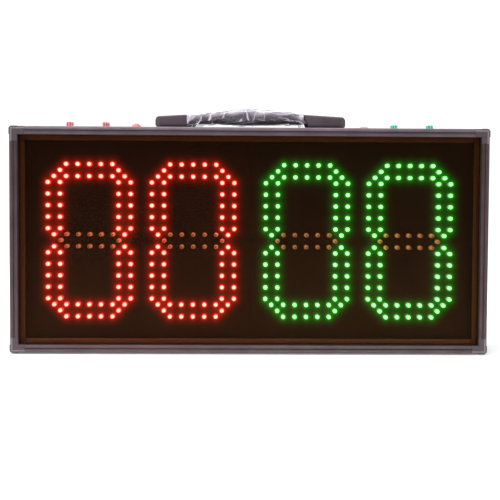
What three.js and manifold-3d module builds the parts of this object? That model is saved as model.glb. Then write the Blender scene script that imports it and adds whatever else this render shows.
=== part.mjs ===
// Electronic football substitution board: an aluminium frame with a smoked window on both sides,
// four lamp digits behind each window, push buttons and a strap handle on the top rail.
// Millimetres, +Z up, +X to the right of someone who looks at the front, which faces -Y.
// The origin is under the middle of the board, on the surface that its rubber feet stand on.
import * as THREE from 'three';
import { mergeVertices } from 'three/addons/utils/BufferGeometryUtils.js';
import Module from 'manifold-3d';

const wasm = await Module();
wasm.setup();

// Whole board
const boardWidth = 626;
const boardHeight = 296;
const boardDepth = 60;
const fit = 0.3;
const overrun = 1;

// Frame rail section, measured inward from the outer face or back from the lip
const wall = 2;
const outerEdgeRadius = 2.2;
const lipReach = 10.8;
const lipThickness = 2;
const grooveOffset = 4.6;
const grooveWidth = 2;
const grooveDepth = 0.9;
const ledgeReach = 17.6;
const ledgeThickness = 1.8;
const ribReach = 8;
const ribThickness = 1.3;
const toeReach = 2.5;
const toeThickness = 1.3;

// Window panes and their seals
const panelThickness = 3;
const panelEdgeGap = 0.6;
const gasketThickness = 0.7;
const gasketReach = 11.6;

// Corner pieces
const cornerLeg = 20;
const cornerRadius = 4;
const tongueLength = 24;
const cornerScrewInset = 12;
const cornerScrewLength = 5.8;

// Rubber feet
const footWidth = 6.3;
const footLength = 50;
const footInset = 5.3;
const footProud = 1.5;
const footSunk = 1;
const footEdgeRadius = 1.2;

// Screws of three millimetres, with countersunk or pan heads
const screwRadius = 1.5;
const sunkHeadRadius = 3;
const sunkHeadHeight = 1.6;
const panHeadRadius = 2.8;
const panHeadHeight = 2;

// Display boards, from the middle plane of the frame
const displayFace = 12;
const displayThickness = 1.6;
const displaySplit = 1;

// Lamps: straight pitch and diagonal step of a digit that is eight inches tall
const lampPitch = 15.24;
const lampStep = 8;
const lampRadius = 2.5;
const lampLength = 8.6;
// Middles of the two digits of one side, as shares of half the board's width
const digitShares = [0.2409, 0.6784];
// Middles of the digits under the board's middle
const digitDrop = 1.4;

// Stay between the rails that carries the inner edges of the display boards
const spineHalfWidth = 12;
const spineWall = 2;
const spineWindowHeight = 14;
const spineWindowHalf = 5;
const displayScrewInset = 5.5;
const displayScrewLength = 6;

// Digit buttons and the two domed buttons, from the top face
const buttonTravel = 1.5;
// Places of the domed, inner and outer button, as shares of the way from the handle to the corner
const buttonShares = [0.1596, 0.4066, 0.6988];
const digitCapRadius = 5;
const digitCapFlute = 0.7;
const redCapHeight = 8.6;
const greenCapHeight = 7.2;
const digitCapBevel = 0.8;
const stemRadius = 2.5;
const domeRadius = 6.5;
const domeHeight = 7.5;
const domeStraight = 2.2;
const latchDrop = 2.8;
const latchOvertravel = 0.7;
const latchStemRadius = 2;
const latchStemLength = 2.5;

// Switch boards in the channel of the top rail
const switchWidth = 12;
const switchHeight = 2;
const switchBoardMargin = 8;
const switchBoardThickness = 1.6;
const latchBodyDepth = 7;

// Handle, from the top face
const handleLength = 254;
const handleWidth = 32;
const capTopLength = 58;
const capFootLength = 50;
const capOuterHeight = 16;
const capMouthHeight = 19;
const capEdgeRadius = 7;
const capPlanRadius = 9;
const capBevel = 2.4;
const capRoof = 2.5;
const capSide = 3.7;
const capCavityLength = 33;
const capThroat = 8;
const capBaseThickness = 1.4;
const capBaseInset = 2.6;
const capScrewInset = 14;
const capScrewRadius = 2.5;
const capScrewHeadRadius = 4.4;
const capScrewHeadHeight = 3;
const capScrewSeat = 8;
const capScrewLength = 15.5;
const capNutRadius = 4.6;
const capNutHeight = 4;
const pinRadius = 1.5;
const pinInset = 11;
const pinRise = 10;
const pinSeat = 1.4;

// Strap ends and grip
const strapWidth = 24;
const strapSteel = 1.6;
const eyeRadius = 3.3;
const sleeveStart = 8;
const sleeveEnd = 27.5;
const sleeveBelow = 2;
const sleeveAbove = 8.8;
const sleeveClimb = 3;
const tipWidth = 16;
const tipReach = 37;
const tipRise = 5;
const gripEndGap = 0.5;
const gripHalfWidth = 14;
const gripEndHalfWidth = 13;
const gripTop = 26;
const gripEndTop = 22;
const gripUnderside = 6.3;
const gripEndUnderside = 8.5;
const pocketDepth = 11;
const pocketHalfHeight = 3;
const filmGap = 0.3;
const filmThickness = 0.4;
const filmInset = 2;

// Battery pack on the bottom rail, its middle given as a share of half the board's width
const cellRadius = 7.25;
const cellLength = 50.5;
const cellsInLine = 4;
const cellOverlap = 1.2;
const cellNotch = 0.7;
const batteryShare = -0.4856;
const cradleFloor = 1.5;
const cradleWall = 1;
const cradleWallHeight = 14;
const clipWidth = 18;
const clipThickness = 0.8;

// Controller board, upright in its own cradle on the bottom rail, placed as the battery is
const controllerShare = 0.56;
const controllerWidth = 110;
const controllerHeight = 70;
const controllerThickness = 1.6;
const slotGrip = 5;
const chipWidth = 14;
const chipHeight = 10;
const chipThickness = 2;
const plugWidth = 16;
const plugHeight = 7;
const plugThickness = 4;
const plugShares = [-3, -1.5, 0.5, 2];

// Charging socket in the channel of the right rail
const socketRise = 60;
const socketNoseRadius = 4;
const socketBoreRadius = 2.75;
const socketBoreDepth = 9;
const socketPinRadius = 1;
const socketBodyLength = 10;
const socketBodyWidth = 11;
const socketFlangeLength = 24;

// Leads inside the frame, and how far above the lower and below the upper outer face they cross
const leadRadius = 1.4;
const leadBend = 14;
const lowCrossing = 104;
const highCrossing = 32;

// Planes that the pieces share, as distances from the middle plane or from an outer face
const lipBack = boardDepth / 2 - lipThickness;
const gasketFront = lipBack - fit;
const gasketBack = gasketFront - gasketThickness;
const panelFront = gasketBack - fit;
const panelBack = panelFront - panelThickness;
const ledgeFront = panelBack - fit;
const ledgeBack = ledgeFront - ledgeThickness;
const displayBack = displayFace - displayThickness;
const outerRib = displayFace + fit;
const innerRib = displayBack - fit;
const channelHalf = innerRib - ribThickness;
const channelMouth = channelHalf - toeReach;
const channelTop = wall + fit;
const channelUnder = ribReach - toeThickness - fit;
const middleRise = boardHeight / 2;
const halfBoard = boardWidth / 2;
const batteryX = batteryShare * halfBoard;
const controllerX = controllerShare * halfBoard;
const handleEnd = handleLength / 2;
const buttonRun = halfBoard - cornerLeg - handleEnd;
const [domeButtonX, digitButtonInner, digitButtonOuter] = buttonShares
  .map((share) => handleEnd + share * buttonRun);
const switchBoardTop = channelUnder - switchBoardThickness;
const switchTop = switchBoardTop - switchHeight;
const stemEnd = buttonTravel + fit - switchTop;
const screwHoleRadius = screwRadius + fit;

// Basic solids

// Shared corners are merged and triangles without area are dropped, so that a shape is one closed skin.
function welded(geometry) {
  const plain = geometry.clone();
  plain.deleteAttribute('normal');
  plain.deleteAttribute('uv');
  const merged = mergeVertices(plain);
  const kept = [];
  const corners = merged.index.array;
  for (let first = 0; first < corners.length; first += 3) {
    const [a, b, c] = corners.slice(first, first + 3);
    if (a !== b && b !== c && c !== a) kept.push(a, b, c);
  }
  merged.setIndex(kept);
  merged.clearGroups();
  return merged;
}

function toSolid(geometry) {
  const closed = welded(geometry);
  const vertProperties = new Float32Array(closed.attributes.position.array);
  const triVerts = new Uint32Array(closed.index.array);
  return new wasm.Manifold(new wasm.Mesh({ numProp: 3, vertProperties, triVerts }));
}

function toGeometry(solid) {
  const { vertProperties, triVerts } = solid.getMesh();
  const geometry = new THREE.BufferGeometry();
  geometry.setAttribute('position', new THREE.BufferAttribute(vertProperties, 3));
  geometry.setIndex(new THREE.BufferAttribute(triVerts, 1));
  return geometry;
}

function cut(base, ...tools) {
  return toGeometry(tools.reduce((solid, tool) => solid.subtract(toSolid(tool)), toSolid(base)));
}

function join(first, ...others) {
  return toGeometry(others.reduce((solid, other) => solid.add(toSolid(other)), toSolid(first)));
}

function common(first, second) {
  return toGeometry(toSolid(first).intersect(toSolid(second)));
}

// A block between a low and a high limit on each axis
function block(xLimits, yLimits, zLimits) {
  const [width, depth, height] = [xLimits, yLimits, zLimits].map(([low, high]) => high - low);
  const [x, y, z] = [xLimits, yLimits, zLimits].map(([low, high]) => (low + high) / 2);
  return new THREE.BoxGeometry(width, depth, height).translate(x, y, z);
}

// An outline in the plane of two axes, pushed out along the third from one place to another
const planes = {
  frontView: [[1, 0, 0], [0, 0, 1], [0, -1, 0]],
  topRail: [[0, -1, 0], [0, 0, -1], [1, 0, 0]],
  bottomRail: [[0, 1, 0], [0, 0, 1], [1, 0, 0]],
  leftRail: [[0, -1, 0], [1, 0, 0], [0, 0, 1]],
  rightRail: [[0, 1, 0], [-1, 0, 0], [0, 0, 1]],
  topView: [[1, 0, 0], [0, 1, 0], [0, 0, 1]],
};

function pushed(shape, plane, from, to, bevel = {}) {
  const axes = planes[plane].map((axis) => new THREE.Vector3(...axis));
  const bevelSize = bevel.size ?? 0;
  const depth = to - from - 2 * bevelSize;
  const settings = { depth, bevelEnabled: bevelSize > 0, curveSegments: bevel.curveSegments ?? 4 };
  Object.assign(settings, { bevelSize, bevelThickness: bevelSize, bevelOffset: -bevelSize });
  settings.bevelSegments = bevel.segments ?? 2;
  const geometry = new THREE.ExtrudeGeometry(shape, settings).translate(0, 0, from + bevelSize);
  return geometry.applyMatrix4(new THREE.Matrix4().makeBasis(...axes));
}

function outline(points) {
  return new THREE.Shape(points.map(([x, y]) => new THREE.Vector2(x, y)));
}

// A solid of revolution about Z from a half outline of radius and height
function turned(points, sides) {
  const profile = points.map(([radius, height]) => new THREE.Vector2(radius, height));
  return new THREE.LatheGeometry(profile, sides).rotateX(Math.PI / 2);
}

function rod(radius, low, high, sides = 8) {
  return turned([[0, low], [radius, low], [radius, high], [0, high]], sides);
}

function tube(outer, inner, low, high, sides = 8) {
  return turned([[inner, low], [outer, low], [outer, high], [inner, high], [inner, low]], sides);
}

// Turns that send a solid built along +Z along another axis
const toFront = (geometry) => geometry.rotateX(Math.PI / 2);
const toRear = (geometry) => geometry.rotateX(-Math.PI / 2);
const toRight = (geometry) => geometry.rotateY(Math.PI / 2);
const toLeft = (geometry) => geometry.rotateY(-Math.PI / 2);

// Countersunk screw whose head's flat is at height zero, and the hole that it sits in
function sunkScrew(length) {
  const head = [[0, -length], [screwRadius, -length], [screwRadius, -sunkHeadHeight]];
  return turned([...head, [sunkHeadRadius - fit, -fit], [0, -fit]], 8);
}

function sunkHole(depth) {
  const shank = [[0, -depth], [screwHoleRadius, -depth], [screwHoleRadius, -sunkHeadHeight]];
  return turned([...shank, [sunkHeadRadius, 0], [sunkHeadRadius, overrun], [0, overrun]], 8);
}

// Pan-head screw whose head's underside is at height zero
function panScrew(length) {
  const shank = [[0, -length], [screwRadius, -length], [screwRadius, 0], [panHeadRadius, 0]];
  return turned([...shank, [panHeadRadius, panHeadHeight / 2], [panHeadRadius / 2, panHeadHeight],
    [0, panHeadHeight]], 6);
}

// A closed skin over rings of points that have the same count
function lofted(rings) {
  const count = rings[0].length;
  const corners = [];
  for (let ring = 0; ring + 1 < rings.length; ring += 1) {
    for (let side = 0; side < count; side += 1) {
      const next = (side + 1) % count;
      const [a, b] = [ring * count + side, ring * count + next];
      corners.push(a, b, b + count, a, b + count, a + count);
    }
  }
  const last = (rings.length - 1) * count;
  for (let side = 1; side + 1 < count; side += 1) {
    corners.push(0, side + 1, side, last, last + side, last + side + 1);
  }
  const geometry = new THREE.BufferGeometry();
  geometry.setAttribute('position', new THREE.Float32BufferAttribute(rings.flat(2), 3));
  geometry.setIndex(corners);
  return geometry;
}

// Model tree

const model = new THREE.Group();
const board = new THREE.Group();
board.position.z = footProud;
const top = new THREE.Group();
top.position.z = boardHeight;
board.add(top);
model.add(board);

const looks = {
  anodised: { color: 0x55494f, roughness: 0.42, metalness: 0.9 },
  blackPlastic: { color: 0x2b2528, roughness: 0.5, metalness: 0 },
  smokedPane: { color: 0x2a1408, roughness: 0.08, metalness: 0, transparent: true, opacity: 0.45 },
  rubber: { color: 0x171717, roughness: 0.85, metalness: 0 },
  steel: { color: 0xb9bcc0, roughness: 0.3, metalness: 1 },
  circuit: { color: 0x0f1411, roughness: 0.6, metalness: 0 },
  chips: { color: 0x1c1c1e, roughness: 0.5, metalness: 0 },
  redLamp: { color: 0xff3838, roughness: 0.25, metalness: 0 },
  greenLamp: { color: 0x22dd55, roughness: 0.25, metalness: 0 },
  redCap: { color: 0xf06072, roughness: 0.35, metalness: 0 },
  greenCap: { color: 0x19d884, roughness: 0.35, metalness: 0 },
  orangeCap: { color: 0xf08050, roughness: 0.35, metalness: 0 },
  grip: { color: 0x3b3439, roughness: 0.6, metalness: 0 },
  film: { color: 0xd8d8e0, roughness: 0.15, metalness: 0, transparent: true, opacity: 0.4 },
  cells: { color: 0x2f6fb0, roughness: 0.4, metalness: 0.2 },
  lead: { color: 0x222222, roughness: 0.6, metalness: 0 },
};

function add(parent, name, geometry, look, place = {}) {
  const finished = welded(geometry);
  finished.computeVertexNormals();
  const mesh = new THREE.Mesh(finished, new THREE.MeshStandardMaterial(looks[look]));
  mesh.name = name;
  mesh.position.set(place.x ?? 0, place.y ?? 0, place.z ?? 0);
  mesh.rotation.set(place.turnX ?? 0, place.turnY ?? 0, place.turnZ ?? 0);
  parent.add(mesh);
}

// Frame

// Section of a rail: an outer wall with lips on both edges, a ledge behind each window, ribs that hold
// the display boards and a channel down the middle. The front half is written out and mirrored. A
// corner piece has the plain section, without the lip's groove, the ribs and the channel.
function railSection(plain) {
  const face = boardDepth / 2;
  const edge = [0, 1, 2, 3].map((step) => {
    const turn = (step / 3) * (Math.PI / 2);
    const along = face - outerEdgeRadius * (1 - Math.sin(turn));
    return [along, outerEdgeRadius * (1 - Math.cos(turn))];
  });
  const groove = [
    [face, grooveOffset],
    [face - grooveDepth, grooveOffset + grooveWidth / 2],
    [face, grooveOffset + grooveWidth],
  ];
  const ribs = [
    [outerRib + ribThickness, wall],
    [outerRib + ribThickness, ribReach],
    [outerRib, ribReach],
    [outerRib, wall],
    [innerRib, wall],
    [innerRib, ribReach],
    [channelMouth, ribReach],
    [channelMouth, ribReach - toeThickness],
    [channelHalf, ribReach - toeThickness],
    [channelHalf, wall],
  ];
  const half = [
    ...edge,
    ...(plain ? [] : groove),
    [face, lipReach],
    [lipBack, lipReach],
    [lipBack, wall],
    [ledgeFront, wall],
    [ledgeFront, ledgeReach],
    [ledgeBack, ledgeReach],
    [ledgeBack, wall],
    ...(plain ? [] : ribs),
  ];
  const mirrored = half.map(([along, inward]) => [-along, inward]).reverse();
  return outline([...half, ...mirrored]);
}

const capScrewX = handleEnd - capScrewInset;
const bothSides = (place) => [-place, place];

function cornerHoles(railLength) {
  return bothSides(railLength / 2 - cornerScrewInset).map((x) => sunkHole(2 * wall).translate(x, 0, 0));
}

function rail(length, plane, holes) {
  const whole = pushed(railSection(false), plane, -length / 2, length / 2);
  return holes.length ? cut(whole, ...holes) : whole;
}

function buildRails() {
  const across = boardWidth - 2 * cornerLeg;
  const upright = boardHeight - 2 * cornerLeg;
  const through = (radius, place, sides) => bothSides(place)
    .map((x) => rod(radius, -2 * wall, overrun, sides).translate(x, 0, 0));
  const topHoles = [
    ...cornerHoles(across),
    ...through(stemRadius + fit, digitButtonOuter, 10),
    ...through(stemRadius + fit, digitButtonInner, 10),
    ...through(domeRadius + 2 * fit, domeButtonX, 12),
    ...through(capScrewRadius + fit, capScrewX, 8),
  ];
  add(top, 'top_rail', rail(across, 'topRail', topHoles), 'anodised');
  const underHoles = cornerHoles(across).map((hole) => hole.rotateX(Math.PI));
  add(board, 'bottom_rail', rail(across, 'bottomRail', underHoles), 'anodised');
  const sides = { x: halfBoard, z: middleRise };
  add(board, 'left_rail', rail(upright, 'leftRail', []), 'anodised', { ...sides, x: -sides.x });
  const socketHole = toRight(rod(socketNoseRadius + fit, -2 * wall, overrun, 12));
  const rightHoles = [socketHole.translate(0, 0, socketRise - middleRise)];
  add(board, 'right_rail', rail(upright, 'rightRail', rightHoles), 'anodised', sides);
}

// Moulded corner at the top left: two legs of the rail section, filled behind the wall, with a tongue
// that slides into the channel of each rail.
function cornerSolid() {
  const leg = cornerLeg - fit;
  const reach = cornerLeg + tongueLength;
  const section = railSection(true);
  const tongueHalf = channelHalf - fit;
  const depths = [-tongueHalf, tongueHalf];
  const rough = join(
    pushed(section, 'topRail', 0, leg),
    pushed(section, 'leftRail', -leg, 0),
    block([wall / 2, leg], depths, [-channelUnder, -wall / 2]),
    block([wall / 2, channelUnder], depths, [-leg, -wall / 2]),
    block([leg / 2, reach], depths, [-channelUnder, -channelTop]),
    block([channelTop, channelUnder], depths, [-reach, -leg / 2]),
  );
  const rounded = new THREE.Shape();
  rounded.moveTo(0, -cornerRadius);
  rounded.absarc(cornerRadius, -cornerRadius, cornerRadius, Math.PI, Math.PI / 2, true);
  rounded.lineTo(reach + overrun, 0);
  rounded.lineTo(reach + overrun, -reach - overrun);
  rounded.lineTo(0, -reach - overrun);
  const half = boardDepth / 2 + overrun;
  const shaped = common(rough, pushed(rounded, 'frontView', -half, half, { curveSegments: 4 }));
  const pilot = rod(screwHoleRadius, -channelUnder - overrun, 0);
  return cut(shaped, pilot.translate(cornerLeg + cornerScrewInset, 0, 0));
}

function buildCorners() {
  const upper = cornerSolid();
  const grooveHalf = footWidth / 2 + fit;
  const grooveLength = footLength / 2 + fit;
  const grooveLimits = [footInset - grooveHalf, footInset + grooveHalf];
  const groove = block(grooveLimits, [-grooveLength, grooveLength], [-footSunk, overrun]);
  const lower = cut(upper, groove);
  add(board, 'corner_top_left', upper, 'blackPlastic', { x: -halfBoard, z: boardHeight });
  add(board, 'corner_top_right', upper, 'blackPlastic', { x: halfBoard, z: boardHeight, turnZ: Math.PI });
  add(board, 'corner_bottom_left', lower, 'blackPlastic', { x: -halfBoard, turnX: Math.PI });
  add(board, 'corner_bottom_right', lower, 'blackPlastic', { x: halfBoard, turnY: Math.PI });

  const x = halfBoard - cornerLeg - cornerScrewInset;
  const screw = sunkScrew(cornerScrewLength);
  add(board, 'corner_screw_top_left', screw, 'steel', { x: -x, z: boardHeight });
  add(board, 'corner_screw_top_right', screw, 'steel', { x, z: boardHeight });
  add(board, 'corner_screw_bottom_left', screw, 'steel', { x: -x, turnX: Math.PI });
  add(board, 'corner_screw_bottom_right', screw, 'steel', { x, turnX: Math.PI });
}

function buildFeet() {
  const side = footWidth / 2;
  const soleStart = side - footEdgeRadius;
  const section = new THREE.Shape();
  section.moveTo(-side, footSunk - fit);
  section.lineTo(-side, footEdgeRadius - footProud);
  section.lineTo(-soleStart, -footProud);
  section.lineTo(soleStart, -footProud);
  section.lineTo(side, footEdgeRadius - footProud);
  section.lineTo(side, footSunk - fit);
  const foot = pushed(section, 'frontView', -footLength / 2, footLength / 2);
  const x = halfBoard - footInset;
  add(board, 'foot_left', foot, 'rubber', { x: -x });
  add(board, 'foot_right', foot, 'rubber', { x });
}

// Windows, seals and display boards

// A flat rectangle about the middle of the board, standing upright between two planes
function sheetShape(margin) {
  const [x, z] = [halfBoard - margin, middleRise - margin];
  return outline([[-x, -z], [x, -z], [x, z], [-x, z]]);
}

function buildWindows() {
  const pane = pushed(sheetShape(wall + panelEdgeGap), 'frontView', panelBack, panelFront);
  const ring = sheetShape(wall + panelEdgeGap);
  ring.holes.push(sheetShape(gasketReach));
  const gasket = pushed(ring, 'frontView', gasketBack, gasketFront);
  const sides = { front: 0, rear: Math.PI };
  for (const [side, turnZ] of Object.entries(sides)) {
    add(board, `${side}_panel`, pane, 'smokedPane', { z: middleRise, turnZ });
    add(board, `${side}_gasket`, gasket, 'rubber', { z: middleRise, turnZ });
  }
}

// Lamp places of one digit from its middle: two rows on each straight side and a double waist
function lampPlaces() {
  const row = [-2, -1, 0, 1, 2].map((share) => share * lampPitch);
  const rowEnd = 2 * lampPitch;
  const digitTop = 4 * lampPitch + 5 * lampStep;
  const places = bothSides(rowEnd + lampStep).map((x) => [x, 0]);
  for (const up of [-1, 1]) {
    for (const x of row) {
      places.push([x, up * digitTop], [x, up * (digitTop - 2 * lampStep)], [x, up * lampStep]);
    }
    for (const side of [-1, 1]) {
      for (const steps of [1, 2]) {
        places.push([side * (rowEnd + steps * lampStep), up * (digitTop - steps * lampStep)]);
      }
      places.push([side * (rowEnd + 2 * lampStep), up * lampStep]);
      for (const down of [0, 1, 2, 3, 4]) {
        const z = up * (digitTop - 3 * lampStep - down * lampPitch);
        places.push([side * (rowEnd + 3 * lampStep), z], [side * (rowEnd + lampStep), z]);
      }
    }
  }
  return places;
}

// Display board for the side x > 0 with the lamps of two digits soldered to it, raised from its middle
function displayBoard(raise) {
  const margin = wall + fit;
  const [x0, x1] = [displaySplit / 2, halfBoard - margin];
  const z = middleRise - margin;
  const corners = [[x0, -z], [x1, -z], [x1, z], [x0, z]];
  const plain = pushed(outline(corners), 'frontView', displayBack, displayFace);
  const drill = toFront(rod(screwHoleRadius, 0, displayFace + overrun, 6));
  const drilled = toSolid(cut(plain, drill.translate(displayScrewInset, 0, 0)));
  const lampBase = displayFace - displayThickness / 2;
  const length = lampLength + displayFace - lampBase;
  const lamp = new THREE.CylinderGeometry(lampRadius, lampRadius, length, 4);
  const solids = digitShares.flatMap((share) => lampPlaces().map(([across, up]) => {
    return toSolid(lamp.clone().translate(share * halfBoard + across, -lampBase - length / 2, up + raise));
  }));
  return toGeometry(wasm.Manifold.union([drilled, ...solids]));
}

function buildDisplays() {
  const right = displayBoard(-digitDrop);
  const left = displayBoard(digitDrop).rotateY(Math.PI);
  for (const [side, turnZ] of Object.entries({ front: 0, rear: Math.PI })) {
    add(board, `${side}_red_display`, left, 'redLamp', { z: middleRise, turnZ });
    add(board, `${side}_green_display`, right, 'greenLamp', { z: middleRise, turnZ });
  }
}

// A foot that slides in the channel of a rail below it, with a neck through the channel's mouth
function channelFoot(xLimits, rise) {
  const [half, neck] = [channelHalf - fit, channelMouth - fit];
  return join(
    block(xLimits, [-half, half], [channelTop, channelUnder]),
    block(xLimits, [-neck, neck], [channelTop, rise]),
  );
}

// Upright stay in the middle of the board, with a channel foot at each end
function buildSpine() {
  const half = spineHalfWidth;
  const end = middleRise - ribReach - fit;
  const inside = innerRib - spineWall;
  const tubeWall = block([-half, half], [-innerRib, innerRib], [-end, end]);
  const hollowEnd = end + overrun;
  const hollow = block([spineWall - half, half - spineWall], [-inside, inside], [-hollowEnd, hollowEnd]);
  const foot = channelFoot([-half, half], 2 * ribReach).translate(0, 0, -middleRise);
  const head = foot.clone().rotateX(Math.PI);
  const drills = bothSides(displayScrewInset).map((x) => {
    return toRear(rod(screwHoleRadius, -innerRib - overrun, innerRib + overrun, 6)).translate(x, 0, 0);
  });
  const windows = [lowCrossing, boardHeight - highCrossing].map((rise) => {
    const [low, high] = bothSides(spineWindowHeight / 2).map((away) => rise - middleRise + away);
    return block([-half - overrun, half + overrun], bothSides(spineWindowHalf), [low, high]);
  });
  const stay = join(cut(tubeWall, hollow, ...windows), foot, head);
  add(board, 'centre_spine', cut(stay, ...drills), 'anodised', { z: middleRise });
  const screw = panScrew(displayScrewLength);
  const [x, y] = [displayScrewInset, displayFace + fit];
  const places = { z: middleRise, turnX: Math.PI / 2, y: -y };
  add(board, 'display_screw_front_red', screw, 'steel', { ...places, x: -x });
  add(board, 'display_screw_front_green', screw, 'steel', { ...places, x });
  add(board, 'display_screw_rear_red', screw, 'steel', { ...places, x, y, turnX: -Math.PI / 2 });
  add(board, 'display_screw_rear_green', screw, 'steel', { ...places, x: -x, y, turnX: -Math.PI / 2 });
}

// Buttons and switches on the top rail

function digitCap(height) {
  const lobes = 8;
  const points = Array.from({ length: 2 * lobes }, (_, index) => {
    const radius = digitCapRadius - (index % 2) * digitCapFlute;
    const turn = (index * Math.PI) / lobes;
    return [radius * Math.cos(turn), radius * Math.sin(turn)];
  });
  const skirt = buttonTravel + fit;
  const bevel = { size: digitCapBevel, segments: 1 };
  const head = pushed(outline(points), 'topView', skirt, height, bevel);
  return join(head, rod(stemRadius, stemEnd, skirt + overrun, 10));
}

// Domed cap; the latching one has a stem that runs down into its switch
function domeCap(stem) {
  const shell = [0, 1, 2, 3].map((step) => {
    const turn = (step / 4) * (Math.PI / 2);
    const rise = domeHeight - domeStraight;
    return [domeRadius * Math.cos(turn), domeStraight + rise * Math.sin(turn)];
  });
  const points = [[domeRadius, stemEnd], ...shell, [0, domeHeight]];
  if (stem === 0) return turned([[0, stemEnd], ...points], 12);
  const low = stemEnd - stem;
  return turned([[0, low], [latchStemRadius, low], [latchStemRadius, stemEnd], ...points], 12);
}

function buildButtons() {
  const redCap = digitCap(redCapHeight);
  const greenCap = digitCap(greenCapHeight);
  add(top, 'red_tens_button', redCap, 'redCap', { x: -digitButtonOuter });
  add(top, 'red_units_button', redCap, 'redCap', { x: -digitButtonInner });
  add(top, 'green_tens_button', greenCap, 'greenCap', { x: digitButtonInner });
  add(top, 'green_units_button', greenCap, 'greenCap', { x: digitButtonOuter });
  add(top, 'mode_button', domeCap(0), 'orangeCap', { x: -domeButtonX });
  const latched = { x: domeButtonX, z: -latchDrop };
  add(top, 'power_button', domeCap(latchStemLength), 'orangeCap', latched);
}

// Strip of circuit board in the channel with the switches of one side soldered to it
function switchBoard(withLatch) {
  const depth = channelHalf - fit;
  const strip = block(
    [domeButtonX - switchBoardMargin, digitButtonOuter + switchBoardMargin],
    [-depth, depth],
    [-channelUnder, -switchBoardTop],
  );
  const half = switchWidth / 2;
  const bodyLow = -switchBoardTop - switchBoardThickness / 2;
  const body = (x) => block([x - half, x + half], [-half, half], [bodyLow, -switchTop]);
  const bodies = [digitButtonInner, digitButtonOuter].map(body);
  if (!withLatch) return join(strip, ...bodies, body(domeButtonX));
  const latchHalf = channelMouth - fit;
  const latchEnd = -channelUnder - latchBodyDepth;
  const sides = [domeButtonX - latchHalf, domeButtonX + latchHalf];
  const latch = block(sides, [-latchHalf, latchHalf], [latchEnd, bodyLow]);
  const boreEnd = stemEnd - latchStemLength - latchDrop - latchOvertravel - fit;
  const bore = rod(latchStemRadius + fit, boreEnd, 0).translate(domeButtonX, 0, 0);
  return cut(join(strip, ...bodies, latch), bore);
}

function buildSwitches() {
  add(top, 'switch_board_left', switchBoard(false), 'circuit', { turnZ: Math.PI });
  add(top, 'switch_board_right', switchBoard(true), 'circuit');
}

// Handle

const mouthTop = handleEnd - capTopLength;
const mouthFoot = handleEnd - capFootLength;
const capUnder = capBaseThickness + 2 * fit;
const pinX = mouthTop + pinInset;
const gripHalfLength = pinX - sleeveEnd - gripEndGap;

// Plan of a cap or of its base: square at the mouth, with rounded outer corners
function capPlan(start, end, halfWidth) {
  const inner = end - capPlanRadius;
  const plan = new THREE.Shape();
  plan.moveTo(start, -halfWidth);
  plan.lineTo(inner, -halfWidth);
  plan.absarc(inner, capPlanRadius - halfWidth, capPlanRadius, -Math.PI / 2, 0, false);
  plan.absarc(inner, halfWidth - capPlanRadius, capPlanRadius, 0, Math.PI / 2, false);
  plan.lineTo(start, halfWidth);
  return plan;
}

// Cap at the right end of the handle, open underneath and at its slanted mouth, where its roof is
// cut back between the cheeks so that the strap's sleeve can tuck in and swing up
function capSolid() {
  const round = capEdgeRadius;
  const side = new THREE.Shape();
  side.moveTo(mouthFoot, capUnder);
  side.lineTo(handleEnd - capBaseInset, capUnder);
  side.lineTo(handleEnd, capUnder + capBevel);
  side.lineTo(handleEnd, capOuterHeight - round);
  side.absarc(handleEnd - round, capOuterHeight - round, round, 0, Math.PI / 2, false);
  side.lineTo(mouthTop, capMouthHeight);
  const halfWidth = handleWidth / 2;
  const long = pushed(side, 'frontView', -halfWidth, halfWidth, { size: capBevel, curveSegments: 5 });
  const plan = capPlan(0, handleEnd, halfWidth);
  const body = common(long, pushed(plan, 'topView', 0, capMouthHeight + overrun));
  const cavityHalf = halfWidth - capSide;
  const cavityRoof = capMouthHeight - capRoof;
  const cavityEnd = mouthTop + capCavityLength;
  const recessLow = capUnder + capScrewSeat;
  return cut(
    body,
    block([0, cavityEnd], [-cavityHalf, cavityHalf], [0, cavityRoof]),
    block([0, mouthTop + capThroat], [-cavityHalf, cavityHalf], [0, capMouthHeight + overrun]),
    rod(capScrewHeadRadius + fit, recessLow, capMouthHeight + overrun, 12).translate(capScrewX, 0, 0),
    rod(capScrewRadius + fit, 0, recessLow + overrun).translate(capScrewX, 0, 0),
    toRear(rod(pinRadius + fit, -cavityHalf - pinSeat, cavityHalf + pinSeat)).translate(pinX, 0, pinRise),
  );
}

function capBase() {
  const halfWidth = handleWidth / 2 - capBaseInset;
  const end = handleEnd - capBaseInset;
  const plate = pushed(capPlan(mouthFoot, end, halfWidth), 'topView', fit, fit + capBaseThickness);
  return cut(plate, rod(capScrewRadius + fit, 0, capMouthHeight).translate(capScrewX, 0, 0));
}

// Strap end about its pin: an eye, a bare steel neck, a soft sleeve and a tip that rides in the grip
function strapEnd() {
  const half = strapSteel / 2;
  const eyeStart = Math.asin(half / eyeRadius);
  const section = new THREE.Shape();
  section.absarc(0, 0, eyeRadius, Math.PI + eyeStart, 3 * Math.PI - eyeStart, false);
  section.lineTo(-sleeveStart, half);
  section.lineTo(-sleeveStart, sleeveAbove);
  section.lineTo(-sleeveEnd, sleeveAbove + sleeveClimb);
  section.lineTo(-sleeveEnd, -sleeveBelow);
  section.lineTo(-sleeveStart, -sleeveBelow);
  section.lineTo(-sleeveStart, -half);
  const bore = new THREE.Path();
  bore.absarc(0, 0, pinRadius + fit, 0, 2 * Math.PI, true);
  section.holes.push(bore);
  const body = pushed(section, 'frontView', -strapWidth / 2, strapWidth / 2, { curveSegments: 6 });
  const tipLimits = [[-tipReach, overrun - sleeveEnd], bothSides(tipWidth / 2)];
  return join(body, block(...tipLimits, [tipRise - half, tipRise + half]));
}

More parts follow.
